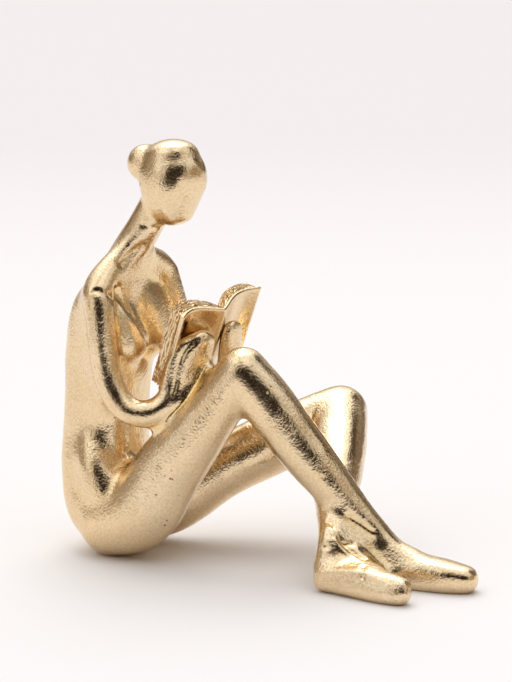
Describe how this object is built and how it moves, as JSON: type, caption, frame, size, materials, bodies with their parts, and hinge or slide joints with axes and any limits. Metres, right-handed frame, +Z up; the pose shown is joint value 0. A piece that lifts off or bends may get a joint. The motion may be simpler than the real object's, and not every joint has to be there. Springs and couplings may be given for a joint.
{
  "type": "seated reading figurine",
  "caption": "Abstract seated figure with a smooth blank head and a bun, one knee raised, ankles crossed, reading an open book; cast in one piece with a pale gold finish.",
  "frame": {"origin": "on the floor, under the middle of the figure's bounding box", "axes": "+X the way the figure faces, from its back towards its toes; +Y towards its left side, where the open knee is; +Z up"},
  "size_m": [0.1265, 0.0657, 0.1201],
  "materials": {
    "pale_gold_plating": "polished, with a fine sandy grain and small casting pits"
  },
  "bodies": {
    "root": {"reading_figure": "pale_gold_plating"}
  },
  "joints": []
}
